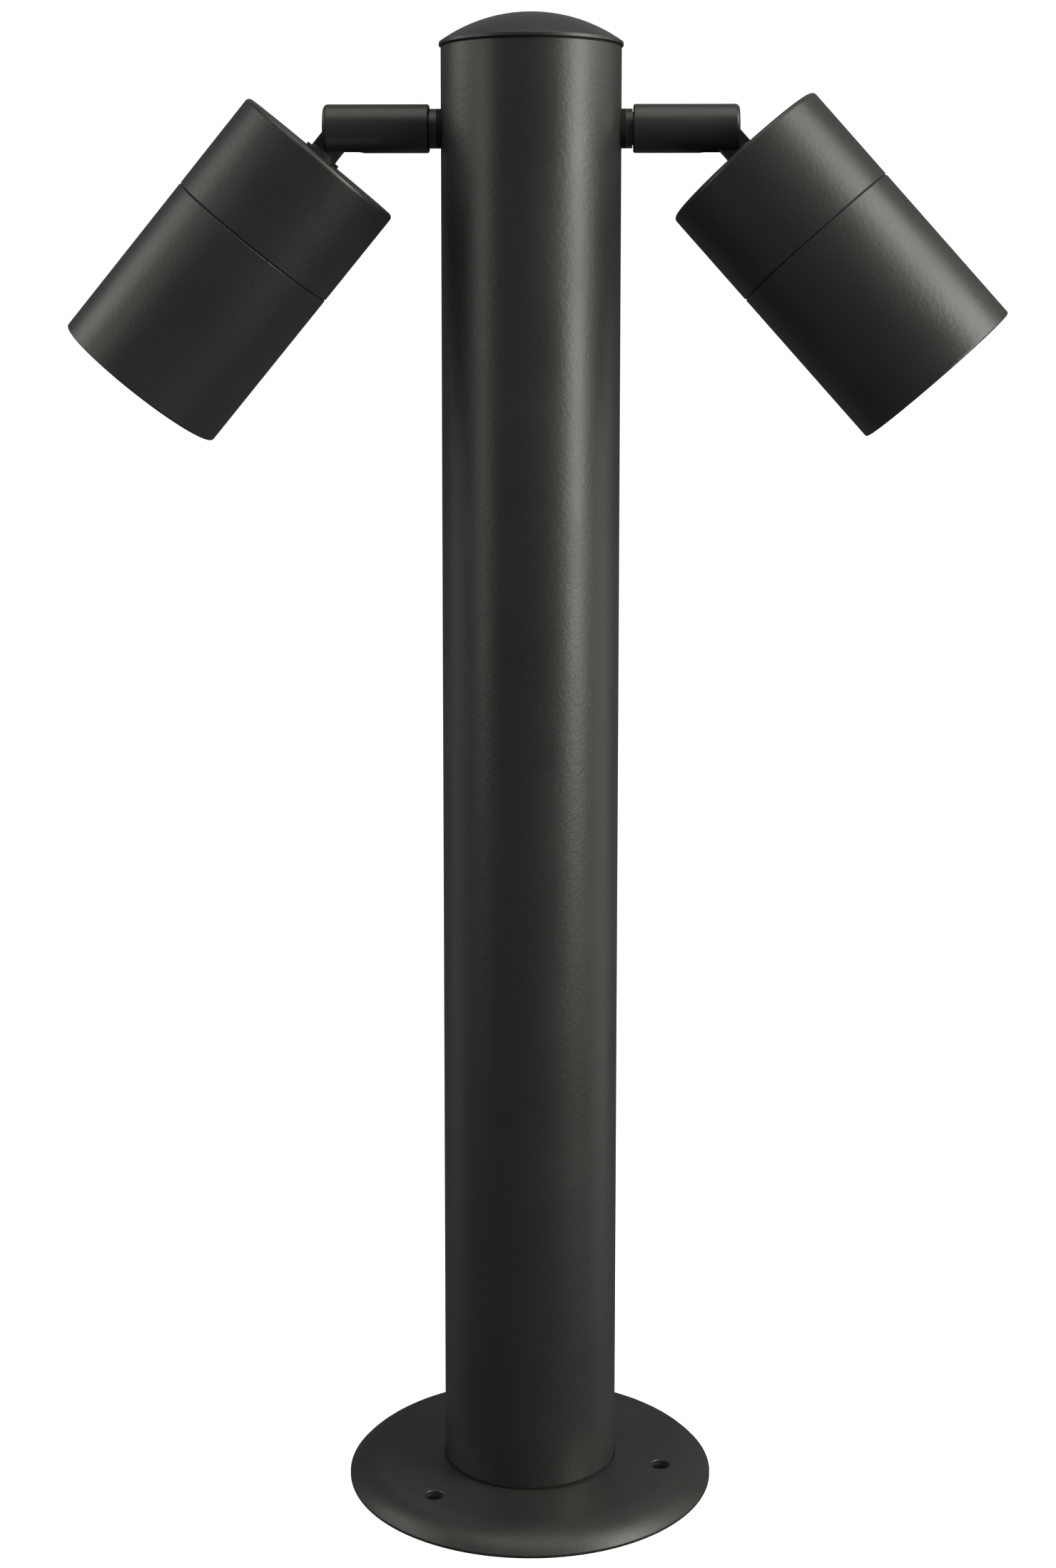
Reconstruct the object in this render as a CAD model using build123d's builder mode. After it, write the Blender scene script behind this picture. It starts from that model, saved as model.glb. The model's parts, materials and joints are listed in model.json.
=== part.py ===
from build123d import *
import os

# Twin-head bollard spotlight: a round post on a dished floor flange, with a domed cap and two
# cylindrical spot heads, each on a short horizontal arm that swivels and ends in a tilting knuckle.
#
# Frame: +Z up, origin on the post axis at floor level, arms along X, rear of the light towards +Y.
# Millimetres and degrees.
#
# An arm and a head are each drawn once, in two frames of their own, and then placed on both sides:
#   arm frame   origin on the post axis at arm height, z outwards along the arm, x down
#   head frame  origin on the knuckle pivot, z forwards along the lamp axis, y along the pivot screw
# On the right the arm frame's y points to the rear. The left sleeve is a mirror image, so that its
# screws face the rear too, while both heads are alike and both lamps lock clockwise.

# ---------------------------------------------------------------- driving dimensions
running_gap = 0.08  # radial, where one piece turns or slides on another
assembly_gap = 0.2  # radial, where pieces are pushed or bolted together
face_gap = 0.15  # between end faces of pieces that move on each other

# Floor flange, pressed from sheet
flange_diameter = 127.4
flange_height = 6.7
flange_sheet = 2.0
flange_flat_diameter = 102.6
flange_edge_height = 0.9
fixing_hole_diameter = 6.5
fixing_circle_diameter = 94.0
fixing_hole_count = 3
fixing_hole_angle = 107.2
fixing_hole_chamfer = 0.3
cable_hole_diameter = 24.0

# Post tube and the seal it stands on
post_diameter = 60.0
post_wall = 1.5
post_length = 486.5
foot_seal_thickness = 0.8
foot_seal_stand_out = 0.35

# Domed cap
cap_overhang = 0.6
cap_lip = 1.0
cap_rise = 9.8
cap_wall = 1.8
cap_skirt_depth = 12.0
cap_skirt_wall = 2.0
cap_seal_thickness = 0.8
cap_seal_set_back = 0.45

# Casting inside the foot of the post
casting_floor = 5.0
casting_height = 24.0
casting_wall = 3.0
foot_screw_count = 3
foot_screw_angle = 30.0
foot_screw_diameter = 4.0
foot_screw_head_diameter = 8.0
foot_screw_drive = 2.5
foot_screw_socket_depth = 1.4
foot_screw_length = 9.5
foot_boss_diameter = 9.0
foot_boss_height = 6.0
grub_diameter = 4.0
grub_height = 13.5
grub_angles = (60.0, 120.0)

# Terminal block on the casting's upright
upright_width = 24.0
upright_thickness = 4.0
upright_height = 64.0
upright_margin = 1.0  # from its rear corners to the casting's rim
block_width = 26.0
block_depth = 12.0
block_length = 18.0
block_top_margin = 3.0
block_edge_chamfer = 0.8
pole_pitch = 8.0
pole_count = 3
clamp_diameter = 4.8
clamp_bore = 3.6
clamp_length = 16.0
clamp_screw_diameter = 2.5
clamp_screw_spacing = 8.0
clamp_screw_recess = 1.2
block_screw_diameter = 3.0
block_screw_head_diameter = 5.5
block_screw_head_height = 2.0
block_screw_drive = 2.5

# Cable gland in the casting floor
gland_thread_diameter = 20.0
gland_across_flats = 24.0
gland_flange = 5.0
gland_collar_diameter = 18.0
gland_collar_length = 8.5
gland_bore = 11.0
gland_seal_diameter = 14.8
gland_seal_bore = 9.0
gland_seal_length = 10.0
gland_seal_chamfer = 1.0
gland_nut_crown = 3.5
gland_nut_mouth = 12.0
gland_nut_chamfer = 1.5

# Arms
arm_height = 468.0
stem_thread_diameter = 10.0
stem_collar_diameter = 13.0
stem_bore = 6.4
stem_spigot_diameter = 10.8
stem_spigot_length = 14.0
stem_spigot_chamfer = 0.5
stem_spigot_room = 1.0  # beyond its end, in the sleeve's bore
stem_groove_diameter = 8.4
stem_groove_width = 3.0
stem_tail = 7.5
saddle_thickness = 1.3
collar_length = 2.3
lock_nut_thickness = 3.2
lock_nut_across_flats = 14.0
lock_nut_chamfer = 0.5
sleeve_diameter = 16.0
sleeve_length = 35.1
sleeve_end_round = 1.5
sleeve_edge_chamfer = 0.4
sleeve_wire_bore = 7.0
set_screw_diameter = 3.0

# Knuckle
pivot_from_sleeve_end = 6.6
slot_width = 5.8
slot_ceiling = 5.3
pivot_screw_diameter = 4.0
pivot_screw_head_diameter = 7.0
pivot_screw_head_height = 2.6
pivot_head_recess = 3.0
pivot_thread_depth = 3.9
pivot_screw_drive = 2.5
tongue_thickness = 4.8
tongue_width = 9.4
neck_diameter = 10.0
neck_collar_diameter = 13.0
neck_collar = 1.2
neck_shoulder = 0.86
neck_tail = 9.0
neck_bore = 4.4
wire_way_overlap = 1.0  # of the bore and the slanting way out, inside the tongue
wire_way_slope = 0.8
friction_washer_diameter = 8.0
friction_washer_thickness = 0.45
neck_seal_diameter = 12.6
neck_seal_thickness = 1.0
neck_nut_thickness = 3.5

# Spot head
head_diameter = 61.4
head_length = 97.2
housing_length = 36.2
housing_back_wall = 3.0
housing_side_wall = 3.0
housing_edge_round = 1.6
seam_chamfer = 0.35
spigot_length = 10.0
spigot_wall = 2.1
spigot_root = 2.5
barrel_wall = 2.2
barrel_front_round = 0.7
barrel_lip = 2.4
barrel_lip_width = 5.1
o_ring_section = 1.36
lens_thickness = 3.0
lens_chamfer = 0.3
lens_gasket_thickness = 1.0
snap_ring_thickness = 1.5
snap_ring_width = 3.3
snap_groove_depth = 0.6
snap_ring_opening = 9.0

# Lampholder and its bracket
bracket_sheet = 1.5
bracket_width = 16.0
bracket_rise = 11.5
bracket_span = 32.0
bracket_foot = 6.5
bracket_wire_margin = 0.15  # outside the pair of leads
head_screw_diameter = 3.0
head_screw_head_diameter = 5.5
head_screw_head_height = 1.8
head_screw_drive = 2.0
boss_diameter = 7.0
boss_height = 3.0
holder_diameter = 27.0
holder_height = 15.0
holder_face = 3.5
holder_chamber_depth = 5.0
holder_screw_spacing = 19.4
holder_screw_sink = 4.0
holder_edge_chamfer = 0.8
pin_spacing = 10.0
pin_shank_diameter = 3.2
pin_head_diameter = 5.0
pin_head_length = 3.0
pin_length = 7.0
pin_play = 0.3
lamp_twist = 22.0

# Reflector lamp
lamp_length = 53.4
lamp_diameter = 49.6
lamp_base_diameter = 22.4
lamp_base_length = 11.0
lamp_rim = 5.0
lamp_lens_thickness = 2.0
lamp_lens_crown = 0.4  # proud of the rim
lamp_lens_ledge = 1.0
lamp_rim_round = 0.6
lamp_bowl_depth = 22.0
lamp_bowl_floor = 6.0
lamp_rim_width = 2.2
lamp_flare = ((0.9, 1), (0.12, 1))  # directions of the outside at the base and at the rim
lamp_bowl_curve = ((-0.15, -1), (-1, -0.35))  # and of the bowl at its edge and its floor

# Wiring
cable_diameter = 5.2
cable_bend = 16.0
cable_offset_x = 4.0
cable_offset_y = 3.6
cable_sheath_end = 26.0
cable_set_back = 1.0  # from the end of the stem
core_diameter = 1.5
core_spread = 1.1
core_bend = 3.0
core_straight = 4.0  # down from the sheath's end
core_above_block = 3.0
core_in_block = 4.0
lead_diameter = 1.7
lead_bend = 2.0
lead_straight = 1.0  # past the neck's tail
lead_in_holder = 4.0

# Rest angles: how far each head points below the horizontal, and each arm's turn about X
left_tilt, left_swivel = 50.5, 0.0
right_tilt, right_swivel = 48.3, -4.8

# ---------------------------------------------------------------- derived places
post_radius = post_diameter / 2
post_bore_radius = post_radius - post_wall
post_bottom = flange_height + foot_seal_thickness
post_top = post_bottom + post_length
cap_bottom = post_top + cap_seal_thickness
cap_radius = post_radius + cap_overhang
cap_skirt_radius = post_bore_radius - assembly_gap
overall_height = cap_bottom + cap_lip + cap_rise
casting_radius = post_bore_radius - assembly_gap
casting_floor_top = flange_height + casting_floor
foot_screw_circle = casting_radius - foot_boss_diameter / 2
casting_top = flange_height + casting_height
grub_centre = flange_height + grub_height
upright_top = casting_floor_top + upright_height
upright_rear = (casting_radius**2 - (upright_width / 2) ** 2) ** 0.5 - upright_margin
upright_front = upright_rear - upright_thickness
block_top = upright_top - block_top_margin
block_middle = block_top - block_length / 2
block_centre_y = upright_front - block_depth / 2

collar_face = post_radius + saddle_thickness
collar_end = collar_face + collar_length
spigot_end = collar_end + stem_spigot_length
groove_middle = collar_end + stem_spigot_length / 2
sleeve_start = collar_end + 2 * face_gap
sleeve_end = sleeve_start + sleeve_length
pivot_reach = sleeve_end - pivot_from_sleeve_end
corner_centre = (pivot_from_sleeve_end - sleeve_end_round, sleeve_diameter / 2 - sleeve_end_round)
tongue_length = Vector(*corner_centre).length + sleeve_end_round + running_gap
neck_reach = tongue_length + neck_shoulder + neck_collar

head_radius = head_diameter / 2
housing_back = neck_reach
housing_floor = housing_back + housing_back_wall
seam = housing_back + housing_length
head_front = housing_back + head_length
barrel_bore_radius = head_radius - barrel_wall
spigot_radius = barrel_bore_radius - assembly_gap
spigot_bore_radius = spigot_radius - spigot_wall
cavity_radius = head_radius - housing_side_wall
o_ring_station = seam + spigot_length / 2
o_ring_radius = barrel_bore_radius - o_ring_section / 2 - running_gap
lip_back = head_front - barrel_lip
lens_front = lip_back - lens_gasket_thickness
lens_back = lens_front - lens_thickness
lens_radius = barrel_bore_radius - assembly_gap
bracket_feet = housing_floor + boss_height
bracket_top = bracket_feet + bracket_sheet + bracket_rise
holder_top = bracket_top + holder_height
lamp_back = holder_top + running_gap
lamp_front = lamp_back + lamp_length
bracket_screw_y = bracket_span / 2 + bracket_foot / 2
bracket_wire_hole = pin_spacing + lead_diameter + 2 * bracket_wire_margin

arm_frames = {
    "right": Location(Plane(origin=(0, 0, arm_height), x_dir=(0, 0, -1), z_dir=(1, 0, 0))),
    "left": Location(Plane(origin=(0, 0, arm_height), x_dir=(0, 0, -1), z_dir=(-1, 0, 0))),
}
swivels = {"right": right_swivel, "left": left_swivel}
tilts = {"right": right_tilt, "left": left_tilt}


def arm_place(side):
    """One side's arm frame, turned about the arm by its swivel angle."""
    return arm_frames[side] * Rot(0, 0, swivels[side])


def head_place(side):
    """One side's head frame: the arm's, moved out to the pivot and tilted down."""
    return arm_place(side) * Pos(0, 0, pivot_reach) * Rot(0, tilts[side], 0)


# ---------------------------------------------------------------- shared shapes
def turn(*outline, mode=Mode.ADD):
    """Revolves a closed outline of (radius, height) points about Z in the part being built."""
    with BuildSketch(Plane.XZ) as outline_face:
        with BuildLine():
            Polyline(*outline, close=True)
        make_face()
    revolve(outline_face.sketch, axis=Axis.Z, mode=mode)


def ring(outer_radius, inner_radius, low, high, mode=Mode.ADD):
    """A flat ring, or a disc with no inner radius, about Z between two heights."""
    with BuildSketch(Plane.XY.offset(low)) as ring_face:
        Circle(outer_radius)
        if inner_radius:
            Circle(inner_radius, mode=Mode.SUBTRACT)
    extrude(ring_face.sketch, amount=high - low, mode=mode)


def socket_screw(diameter, length, head_diameter, head_height, drive):
    """A cap screw along -Z with its head's underside at z = 0 and a hexagon socket."""
    with BuildPart() as screw:
        ring(head_diameter / 2, 0, 0, head_height)
        chamfer(screw.edges().group_by(Axis.Z)[-1], head_height / 8)
        ring(diameter / 2, 0, -length, 0)
        with BuildSketch(Plane.XY.offset(head_height)):
            RegularPolygon(drive / 2, 6, major_radius=False)
        extrude(amount=-0.6 * head_height, mode=Mode.SUBTRACT)
    return screw.part


def grub_screw(diameter, length, drive):
    """A headless screw along -Z with its socket end at z = 0."""
    with BuildPart() as screw:
        ring(diameter / 2, 0, -length, 0)
        chamfer(screw.edges().group_by(Axis.Z)[0], diameter / 10)
        with BuildSketch(Plane.XY):
            RegularPolygon(drive / 2, 6, major_radius=False)
        extrude(amount=-length / 2, mode=Mode.SUBTRACT)
    return screw.part


def outward_plane(angle, z):
    """A plane on the post axis at height z, facing outwards at an angle from +X."""
    return Plane(origin=(0, 0, z), z_dir=Vector(1, 0, 0).rotate(Axis.Z, angle))


def wire(diameter, radii, *points):
    """A round wire along straight runs joined by tangent arcs."""
    with BuildPart() as run:
        with BuildLine() as route:
            FilletPolyline(*points, radius=radii)
        with BuildSketch(Plane(route.line @ 0, z_dir=route.line % 0)):
            Circle(diameter / 2)
        sweep(path=route.line)
    return run.part


# ---------------------------------------------------------------- floor flange
with BuildPart() as base_plate:
    with BuildSketch(Plane.XZ):
        with BuildLine():
            flat_end = (flange_flat_diameter / 2, flange_height)
            rim_top = (flange_diameter / 2, flange_edge_height)
            flat = Line((cable_hole_diameter / 2, flange_height), flat_end)
            shoulder = TangentArc(flat_end, rim_top, tangent=(1, 0))
            shoulder_radius = shoulder.radius
            rim = Line(rim_top, (flange_diameter / 2, 0))
            inner_radius = shoulder_radius - flange_sheet
            inner_drop = shoulder_radius - flange_height
            inner_reach = flange_flat_diameter / 2 + (inner_radius**2 - inner_drop**2) ** 0.5
            Line((flange_diameter / 2, 0), (inner_reach, 0))
            inner_flat_end = (flange_flat_diameter / 2, flange_height - flange_sheet)
            TangentArc(inner_flat_end, (inner_reach, 0), tangent=(1, 0))
            Line(inner_flat_end, (cable_hole_diameter / 2, flange_height - flange_sheet))
            Line((cable_hole_diameter / 2, flange_height - flange_sheet), flat @ 0)
        make_face()
    revolve(axis=Axis.Z)
    with Locations(Plane.XY.offset(flange_height)):
        with PolarLocations(fixing_circle_diameter / 2, fixing_hole_count, fixing_hole_angle):
            CounterSinkHole(
                fixing_hole_diameter / 2,
                fixing_hole_diameter / 2 + fixing_hole_chamfer,
                depth=flange_height,
                counter_sink_angle=90,
            )
    with Locations(Plane.XY.offset(flange_height - flange_sheet).rotated((180, 0, 0))):
        with PolarLocations(foot_screw_circle, foot_screw_count, -foot_screw_angle):
            CounterSinkHole(
                foot_screw_diameter / 2 + assembly_gap,
                foot_screw_head_diameter / 2 + assembly_gap,
                depth=2 * flange_sheet,
                counter_sink_angle=90,
            )

# ---------------------------------------------------------------- casting in the foot of the post
with BuildPart() as foot_casting:
    ring(casting_radius, 0, flange_height, casting_floor_top)
    ring(casting_radius, casting_radius - casting_wall, casting_floor_top, casting_top)
    with BuildSketch(Plane.XY.offset(casting_floor_top)):
        with PolarLocations(foot_screw_circle, foot_screw_count, foot_screw_angle):
            Circle(foot_boss_diameter / 2)
    extrude(amount=foot_boss_height)
    with BuildSketch(Plane.XY.offset(casting_floor_top)):
        with Locations((0, upright_rear - upright_thickness / 2)):
            Rectangle(upright_width, upright_thickness)
    extrude(amount=upright_height)
    ring(gland_thread_diameter / 2, 0, flange_height, casting_floor_top, mode=Mode.SUBTRACT)
    with BuildSketch(Plane.XY.offset(flange_height)):
        with PolarLocations(foot_screw_circle, foot_screw_count, foot_screw_angle):
            Circle(foot_screw_diameter / 2)
    extrude(amount=casting_floor + foot_boss_height, mode=Mode.SUBTRACT)
    for angle in grub_angles:
        with BuildSketch(outward_plane(angle, grub_centre).offset(casting_radius - 2 * casting_wall)):
            Circle(grub_diameter / 2)
        extrude(amount=3 * casting_wall, mode=Mode.SUBTRACT)
    with BuildSketch(Plane.XZ.offset(-upright_rear)):
        with Locations((pole_pitch / 2, block_middle)):
            Circle(block_screw_diameter / 2)
    extrude(amount=upright_thickness, mode=Mode.SUBTRACT)

foot_screw_reach = foot_screw_head_diameter / 2 - foot_screw_diameter / 2
with BuildPart() as one_foot_screw:
    turn(
        (0, 0),
        (foot_screw_head_diameter / 2, 0),
        (foot_screw_diameter / 2, foot_screw_reach),
        (foot_screw_diameter / 2, foot_screw_length),
        (0, foot_screw_length),
    )
    with BuildSketch(Plane.XY):
        RegularPolygon(foot_screw_drive / 2, 6, major_radius=False)
    extrude(amount=foot_screw_socket_depth, mode=Mode.SUBTRACT)

with BuildPart() as foot_screws:
    with Locations((0, 0, flange_height - flange_sheet)):
        with PolarLocations(foot_screw_circle, foot_screw_count, foot_screw_angle):
            add(one_foot_screw.part)

one_tube_grub = grub_screw(grub_diameter, casting_wall + post_wall, grub_diameter / 2)
with BuildPart() as tube_grub_screws:
    for angle in grub_angles:
        with Locations(outward_plane(angle, grub_centre).offset(post_radius - assembly_gap)):
            add(one_tube_grub)

# ---------------------------------------------------------------- cable gland
gland_seal_low = casting_floor_top + gland_flange
with BuildPart() as gland_body:
    ring(gland_thread_diameter / 2 - running_gap, 0, flange_height, casting_floor_top)
    with BuildSketch(Plane.XY.offset(casting_floor_top)):
        RegularPolygon(gland_across_flats / 2, 6, major_radius=False)
    extrude(amount=gland_flange)
    ring(gland_collar_diameter / 2, 0, gland_seal_low, gland_seal_low + gland_collar_length)
    ring(gland_bore / 2, 0, flange_height, gland_seal_low, mode=Mode.SUBTRACT)
    ring(
        gland_seal_diameter / 2 + running_gap,
        0,
        gland_seal_low,
        gland_seal_low + gland_collar_length,
        mode=Mode.SUBTRACT,
    )

with BuildPart() as gland_seal:
    ring(gland_seal_diameter / 2, gland_seal_bore / 2, gland_seal_low, gland_seal_low + gland_seal_length)
    chamfer(gland_seal.edges().group_by(Axis.Z)[-1].sort_by(SortBy.RADIUS)[-1:], gland_seal_chamfer)

gland_nut_low = gland_seal_low + running_gap
gland_nut_length = gland_seal_length + gland_nut_crown
with BuildPart() as gland_nut:
    with BuildSketch(Plane.XY.offset(gland_nut_low)):
        RegularPolygon(gland_across_flats / 2, 6, major_radius=False)
    extrude(amount=gland_nut_length)
    chamfer(gland_nut.faces().sort_by(Axis.Z)[-1].edges(), gland_nut_chamfer)
    ring(
        gland_collar_diameter / 2 + running_gap,
        0,
        gland_nut_low,
        gland_nut_low + gland_seal_length,
        mode=Mode.SUBTRACT,
    )
    ring(gland_nut_mouth / 2, 0, gland_nut_low, gland_nut_low + gland_nut_length, mode=Mode.SUBTRACT)

# ---------------------------------------------------------------- terminal block
with BuildPart() as terminal_block:
    with BuildSketch(Plane.XY.offset(block_top - block_length)):
        with Locations((0, block_centre_y)):
            Rectangle(block_width, block_depth)
    extrude(amount=block_length)
    chamfer(terminal_block.edges().filter_by(Axis.Z), block_edge_chamfer)
    with BuildSketch(Plane.XY.offset(block_top - block_length)):
        with Locations((0, block_centre_y)):
            with GridLocations(pole_pitch, 0, pole_count, 1):
                Circle(clamp_diameter / 2)
    extrude(amount=block_length, mode=Mode.SUBTRACT)
    with BuildSketch(Plane.XZ.offset(-block_centre_y)):
        with Locations((0, block_middle)):
            with GridLocations(pole_pitch, clamp_screw_spacing, pole_count, 2):
                Circle(clamp_screw_diameter / 2 + assembly_gap)
    extrude(amount=block_depth, mode=Mode.SUBTRACT)
    with BuildSketch(Plane.XZ.offset(-upright_front)):
        with Locations((pole_pitch / 2, block_middle)):
            Circle(block_screw_diameter / 2)
    extrude(amount=block_depth, mode=Mode.SUBTRACT)

with BuildPart() as terminal_clamps:
    with BuildSketch(Plane.XY.offset(block_middle - clamp_length / 2)):
        with Locations((0, block_centre_y)):
            with GridLocations(pole_pitch, 0, pole_count, 1):
                Circle(clamp_diameter / 2 - running_gap / 2)
                Circle(clamp_bore / 2, mode=Mode.SUBTRACT)
    extrude(amount=clamp_length)
    with BuildSketch(Plane.XZ.offset(-block_centre_y)):
        with Locations((0, block_middle)):
            with GridLocations(pole_pitch, clamp_screw_spacing, pole_count, 2):
                Circle(clamp_screw_diameter / 2)
    extrude(amount=block_depth, mode=Mode.SUBTRACT)

clamp_screw_front = block_centre_y - block_depth / 2 + clamp_screw_recess
with BuildPart() as terminal_screws:
    with BuildSketch(Plane.XZ.offset(-clamp_screw_front)):
        with Locations((0, block_middle)):
            with GridLocations(pole_pitch, clamp_screw_spacing, pole_count, 2):
                Circle(clamp_screw_diameter / 2 - running_gap / 2)
    extrude(amount=clamp_screw_front - block_centre_y + clamp_bore / 2)
    with BuildSketch(Plane.XZ.offset(-clamp_screw_front)):
        with Locations((0, block_middle)):
            with GridLocations(pole_pitch, clamp_screw_spacing, pole_count, 2):
                Rectangle(clamp_screw_diameter, clamp_screw_diameter / 5)
    extrude(amount=-clamp_screw_diameter / 4, mode=Mode.SUBTRACT)

block_screw_length = block_depth + upright_thickness
with BuildPart() as block_screw:
    with Locations(Plane((pole_pitch / 2, upright_front - block_depth, block_middle), z_dir=(0, -1, 0))):
        add(
            socket_screw(
                block_screw_diameter - running_gap,
                block_screw_length,
                block_screw_head_diameter,
                block_screw_head_height,
                block_screw_drive,
            )
        )

# ---------------------------------------------------------------- post tube and foot seal
with BuildPart() as foot_seal:
    ring(post_radius + foot_seal_stand_out, post_bore_radius, flange_height, post_bottom)

with BuildPart() as post_tube:
    ring(post_radius, post_bore_radius, post_bottom, post_top)
    with BuildSketch(Plane.YZ.offset(-post_diameter)):
        with Locations((0, arm_height)):
            Circle(stem_thread_diameter / 2 + running_gap)
    extrude(amount=2 * post_diameter, mode=Mode.SUBTRACT)
    for angle in grub_angles:
        with BuildSketch(outward_plane(angle, grub_centre)):
            Circle(grub_diameter / 2 + running_gap)
        extrude(amount=post_diameter, mode=Mode.SUBTRACT)

# ---------------------------------------------------------------- domed cap
with BuildPart() as cap_seal:
    ring(post_radius - cap_seal_set_back, cap_skirt_radius + running_gap, post_top, cap_bottom)

with BuildPart() as post_cap:
    with BuildSketch(Plane.XZ):
        with BuildLine():
            skirt_bottom = post_top - cap_skirt_depth
            skirt_inside = cap_skirt_radius - cap_skirt_wall
            dome_edge = (cap_radius, cap_bottom + cap_lip)
            dome = TangentArc((0, overall_height), dome_edge, tangent=(1, 0))
            Polyline(
                dome_edge,
                (cap_radius, cap_bottom),
                (cap_skirt_radius, cap_bottom),
                (cap_skirt_radius, skirt_bottom),
                (skirt_inside, skirt_bottom),
                (skirt_inside, cap_bottom),
            )
            TangentArc((0, overall_height - cap_wall), (skirt_inside, cap_bottom), tangent=(1, 0))
            Line((0, overall_height - cap_wall), dome @ 0)
        make_face()
    revolve(axis=Axis.Z)
    lip_edges = post_cap.edges().filter_by_position(Axis.Z, cap_bottom + cap_lip, cap_bottom + cap_lip)
    fillet(lip_edges, cap_lip / 3)
    chamfer(post_cap.edges().group_by(Axis.Z)[0], cap_skirt_wall / 4)

# ---------------------------------------------------------------- arm pieces, in the arm frame
with BuildPart() as swivel_stem:
    stem_inner_end = collar_face - saddle_thickness - stem_tail
    ring(stem_thread_diameter / 2 - running_gap / 2, 0, stem_inner_end, collar_face)
    ring(stem_collar_diameter / 2, 0, collar_face, collar_end)
    ring(stem_spigot_diameter / 2, 0, collar_end, spigot_end)
    chamfer(swivel_stem.edges().group_by(Axis.Z)[-1], stem_spigot_chamfer)
    groove_low = groove_middle - stem_groove_width / 2
    ring(
        stem_spigot_diameter,
        stem_groove_diameter / 2,
        groove_low,
        groove_low + stem_groove_width,
        mode=Mode.SUBTRACT,
    )
    ring(stem_bore / 2, 0, stem_inner_end, spigot_end, mode=Mode.SUBTRACT)

with BuildPart() as saddle_gasket:
    ring(stem_collar_diameter / 2, stem_thread_diameter / 2, post_bore_radius, collar_face)
    with BuildSketch(Plane.YZ.offset(-post_diameter)):
        Circle(post_radius)
    extrude(amount=2 * post_diameter, mode=Mode.SUBTRACT)

nut_corner_radius = lock_nut_across_flats / 3**0.5
nut_face = (post_bore_radius**2 - nut_corner_radius**2) ** 0.5 - running_gap
with BuildPart() as stem_lock_nut:
    with BuildSketch(Plane.XY.offset(nut_face - lock_nut_thickness)):
        RegularPolygon(lock_nut_across_flats / 2, 6, major_radius=False)
        Circle(stem_thread_diameter / 2, mode=Mode.SUBTRACT)
    extrude(amount=lock_nut_thickness)

sleeve_radius = sleeve_diameter / 2
sleeve_bore_radius = stem_spigot_diameter / 2 + running_gap
slot_length = pivot_from_sleeve_end + friction_washer_diameter / 2 + slot_width / 2 + running_gap
slot_end = sleeve_end - slot_length
with BuildPart() as arm_sleeve:
    ring(sleeve_radius, 0, sleeve_start, sleeve_end)
    fillet(arm_sleeve.edges().group_by(Axis.Z)[-1], sleeve_end_round)
    chamfer(arm_sleeve.edges().group_by(Axis.Z)[0], sleeve_edge_chamfer)
    ring(sleeve_bore_radius, 0, sleeve_start, spigot_end + stem_spigot_room, mode=Mode.SUBTRACT)
    ring(sleeve_wire_bore / 2, 0, sleeve_start, slot_end + slot_width / 2, mode=Mode.SUBTRACT)
    with BuildSketch(Plane.YZ.offset(-slot_ceiling)):
        with Locations((0, slot_end + slot_width / 2)):
            Circle(slot_width / 2)
            Rectangle(slot_width, slot_length, align=(Align.CENTER, Align.MIN))
    extrude(amount=slot_ceiling + sleeve_diameter, mode=Mode.SUBTRACT)
    with BuildSketch(Plane.XZ.offset(slot_width / 2)):
        with Locations((0, pivot_reach)):
            Circle(pivot_screw_diameter / 2)
    extrude(amount=pivot_thread_depth, mode=Mode.SUBTRACT)
    with BuildSketch(Plane.XZ):
        with Locations((0, pivot_reach)):
            Circle(pivot_screw_diameter / 2 + running_gap)
    extrude(amount=-sleeve_diameter, mode=Mode.SUBTRACT)
    with BuildSketch(Plane.XZ.offset(-(sleeve_radius - pivot_head_recess))):
        with Locations((0, pivot_reach)):
            Circle(pivot_screw_head_diameter / 2 + running_gap)
    extrude(amount=-pivot_head_recess, mode=Mode.SUBTRACT)
    with BuildSketch(Plane.XZ):
        with Locations((0, groove_middle)):
            Circle(set_screw_diameter / 2)
    extrude(amount=-sleeve_diameter, mode=Mode.SUBTRACT)

set_screw_length = sleeve_radius - assembly_gap - stem_groove_diameter / 2 - running_gap / 2
with BuildPart() as sleeve_set_screw:
    with Locations(Plane((0, sleeve_radius - assembly_gap, groove_middle), z_dir=(0, 1, 0))):
        add(grub_screw(set_screw_diameter - running_gap, set_screw_length, set_screw_diameter / 2))

pivot_screw_seat = sleeve_radius - pivot_head_recess
pivot_screw_length = pivot_screw_seat + slot_width / 2 + pivot_thread_depth - 2 * running_gap
with BuildPart() as pivot_screw:
    with Locations(Plane((0, pivot_screw_seat, pivot_reach), z_dir=(0, 1, 0))):
        add(
            socket_screw(
                pivot_screw_diameter - running_gap,
                pivot_screw_length,
                pivot_screw_head_diameter,
                pivot_screw_head_height,
                pivot_screw_drive,
            )
        )

washer_middle = (tongue_thickness + slot_width) / 4
with BuildPart() as friction_washers:
    for side in (-1, 1):
        with BuildSketch(Plane.XZ.offset(side * washer_middle)):
            with Locations((0, pivot_reach)):
                Circle(friction_washer_diameter / 2)
                Circle(pivot_screw_diameter / 2 + running_gap, mode=Mode.SUBTRACT)
        extrude(amount=friction_washer_thickness / 2, both=True)

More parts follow.
